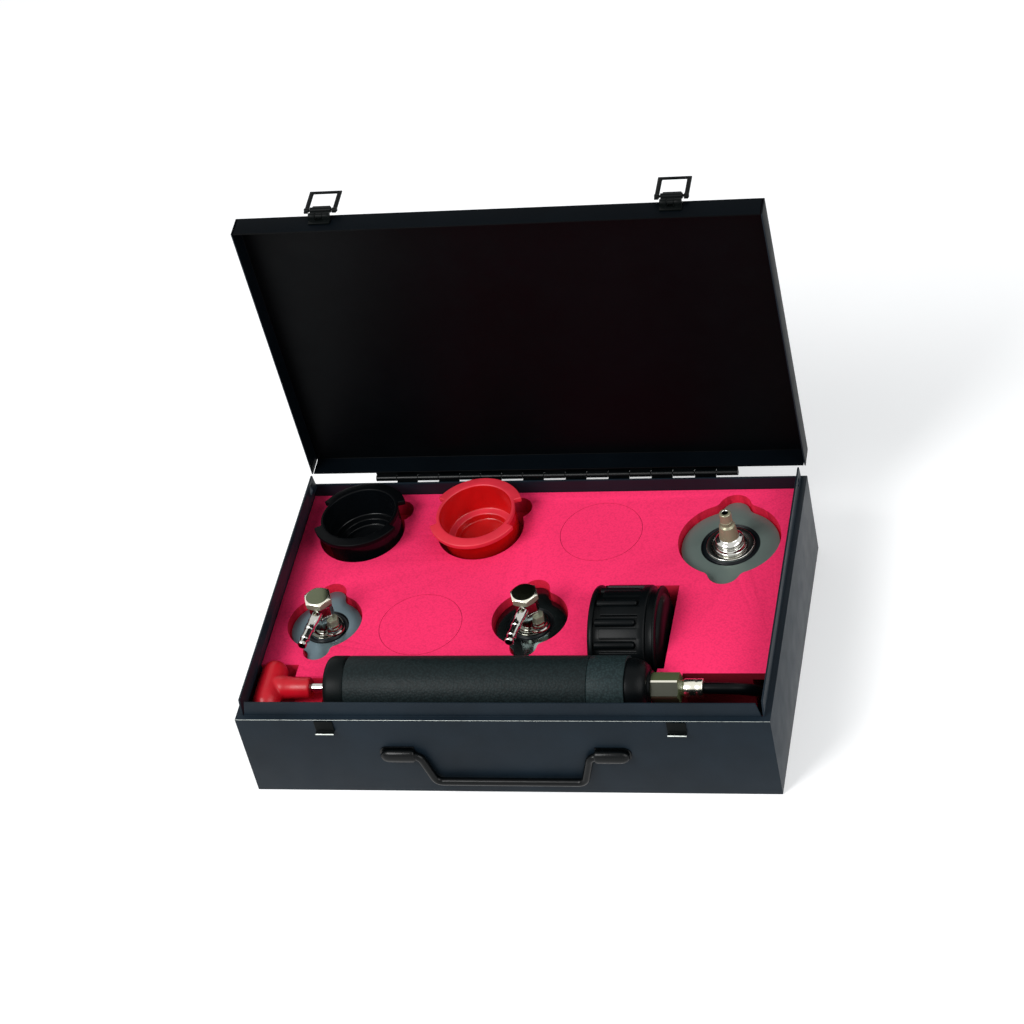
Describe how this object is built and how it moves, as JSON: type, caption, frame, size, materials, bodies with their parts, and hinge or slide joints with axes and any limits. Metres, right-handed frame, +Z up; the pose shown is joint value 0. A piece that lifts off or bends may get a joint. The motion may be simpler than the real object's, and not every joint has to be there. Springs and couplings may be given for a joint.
{
  "type": "radiator pressure tester",
  "caption": "Folded steel case with an open lid; red foam holds a hand pump with hose and gauge, filler-neck cups and cap adapters.",
  "frame": {"origin": "centre of the case's bottom face", "axes": "+X to the right along the case as seen from the handle side, +Y from the handle towards the hinge, +Z up"},
  "size_m": [0.37, 0.2728, 0.3189],
  "materials": {
    "case_paint": "fine textured satin",
    "black_steel": "gloss black",
    "latch_steel": "satin black",
    "foam": "matte closed-cell foam",
    "red_plastic": "gloss",
    "black_plastic": "gloss",
    "grip_plastic": "fine textured matte",
    "boot_rubber": "matte",
    "hose_rubber": "satin",
    "seal_rubber": "matte",
    "satin_steel": "satin",
    "chrome_steel": "polished",
    "nickel_brass": "satin nickel over brass",
    "plain_brass": "satin",
    "lens": "clear",
    "dial_paint": "matte white"
  },
  "bodies": {
    "case": {"case_base": "case_paint", "foam_insert": "foam", "hinge_leaf_base": "black_steel", "hinge_pin": "black_steel", "latch_keepers": "latch_steel", "handle_saddles": "black_steel", "pump_front_cap": "grip_plastic", "rod_bush": "nickel_brass", "pump_barrel": "satin_steel", "pump_grip": "grip_plastic", "pump_end_ring": "grip_plastic", "pump_head": "grip_plastic", "valve_ball": "chrome_steel", "valve_spring": "satin_steel", "hose_nut": "nickel_brass", "hose_ferrule": "plain_brass", "hose_run": "hose_rubber", "hose_coil": "hose_rubber", "hose_tail": "hose_rubber", "coupler_body": "satin_steel", "coupler_sleeve": "chrome_steel", "gauge_boot": "boot_rubber", "gauge_case": "satin_steel", "gauge_lens": "lens", "gauge_dial": "dial_paint", "gauge_movement": "plain_brass", "gauge_stem": "plain_brass", "bourdon_tube": "plain_brass"},
    "lid": {"lid_shell": "case_paint", "hinge_leaf_lid": "black_steel", "latch_lugs": "latch_steel", "latch_pin_left": "latch_steel", "latch_pin_right": "latch_steel"},
    "lever_left": {"latch_lever_left": "latch_steel"},
    "lever_right": {"latch_lever_right": "latch_steel"},
    "loop_left": {"latch_loop_left": "latch_steel"},
    "loop_right": {"latch_loop_right": "latch_steel"},
    "handle": {"handle_bail": "black_steel"},
    "piston": {"piston": "black_plastic", "piston_seal": "seal_rubber"},
    "rod": {"pump_rod": "chrome_steel", "t_handle": "red_plastic", "piston_nut": "satin_steel"},
    "pointer": {"gauge_pointer": "black_plastic"},
    "straight_cap": {"straight_plate": "satin_steel"},
    "straight_outlet": {"straight_stem": "chrome_steel", "straight_gasket": "seal_rubber"},
    "left_cap": {"left_plate": "satin_steel"},
    "left_outlet": {"left_stem": "chrome_steel", "left_gasket": "seal_rubber", "left_banjo": "chrome_steel", "left_bolt": "nickel_brass"},
    "middle_cap": {"middle_plate": "satin_steel"},
    "middle_outlet": {"middle_stem": "chrome_steel", "middle_gasket": "seal_rubber", "middle_banjo": "chrome_steel", "middle_bolt": "nickel_brass"},
    "black_cup": {"cup_black": "black_plastic"},
    "red_cup": {"cup_red": "red_plastic"}
  },
  "joints": [
    {"name": "lid_hinge", "type": "hinge", "parent": "case", "child": "lid", "pos_m": [0, 0.124, 0.071], "axis": [-1, 0, 0], "range_deg": [-86.5, 0]},
    {"name": "latch_left_lever", "type": "hinge", "parent": "lid", "child": "lever_left", "pos_m": [-0.122, 0.12081, 0.31646], "axis": [-1, 0, 0], "range_deg": [-180, 0]},
    {"name": "latch_left_loop", "type": "hinge", "parent": "lever_left", "child": "loop_left", "pos_m": [-0.122, 0.1268, 0.31683], "axis": [-1, 0, 0], "range_deg": [0, 60]},
    {"name": "latch_right_lever", "type": "hinge", "parent": "lid", "child": "lever_right", "pos_m": [0.122, 0.12081, 0.31646], "axis": [-1, 0, 0], "range_deg": [-180, 0]},
    {"name": "latch_right_loop", "type": "hinge", "parent": "lever_right", "child": "loop_right", "pos_m": [0.122, 0.1268, 0.31683], "axis": [-1, 0, 0], "range_deg": [0, 60]},
    {"name": "handle_swing", "type": "hinge", "parent": "case", "child": "handle", "pos_m": [0, -0.1221, 0.039], "axis": [-1, 0, 0], "range_deg": [0, 170]},
    {"name": "pump_stroke", "type": "slide", "parent": "case", "child": "piston", "axis": [1, 0, 0], "range_m": [-0.002, 0.003]},
    {"name": "handle_spin", "type": "hinge", "parent": "piston", "child": "rod", "pos_m": [-0.13, -0.0805, 0.0625], "axis": [1, 0, 0], "continuous": true},
    {"name": "pointer_turn", "type": "hinge", "parent": "case", "child": "pointer", "pos_m": [0.055, -0.02, 0.0476], "axis": [1, 0, 0], "range_deg": [0, 270]},
    {"name": "straight_lift", "type": "slide", "parent": "case", "child": "straight_cap", "axis": [0, 0, 1], "range_m": [0, 0.08]},
    {"name": "straight_spin", "type": "hinge", "parent": "straight_cap", "child": "straight_outlet", "pos_m": [0.134, 0.0665, 0.053], "axis": [0, 0, 1], "continuous": true},
    {"name": "left_lift", "type": "slide", "parent": "case", "child": "left_cap", "axis": [0, 0, 1], "range_m": [0, 0.08]},
    {"name": "left_swivel", "type": "hinge", "parent": "left_cap", "child": "left_outlet", "pos_m": [-0.1465, -0.0135, 0.053], "axis": [0, 0, 1], "range_deg": [-35, 225]},
    {"name": "middle_lift", "type": "slide", "parent": "case", "child": "middle_cap", "axis": [0, 0, 1], "range_m": [0, 0.08]},
    {"name": "middle_swivel", "type": "hinge", "parent": "middle_cap", "child": "middle_outlet", "pos_m": [0.0025, -0.011, 0.053], "axis": [0, 0, 1], "continuous": true},
    {"name": "black_cup_lift", "type": "slide", "parent": "case", "child": "black_cup", "axis": [0, 0, 1], "range_m": [0, 0.08]},
    {"name": "red_cup_lift", "type": "slide", "parent": "case", "child": "red_cup", "axis": [0, 0, 1], "range_m": [0, 0.08]}
  ]
}
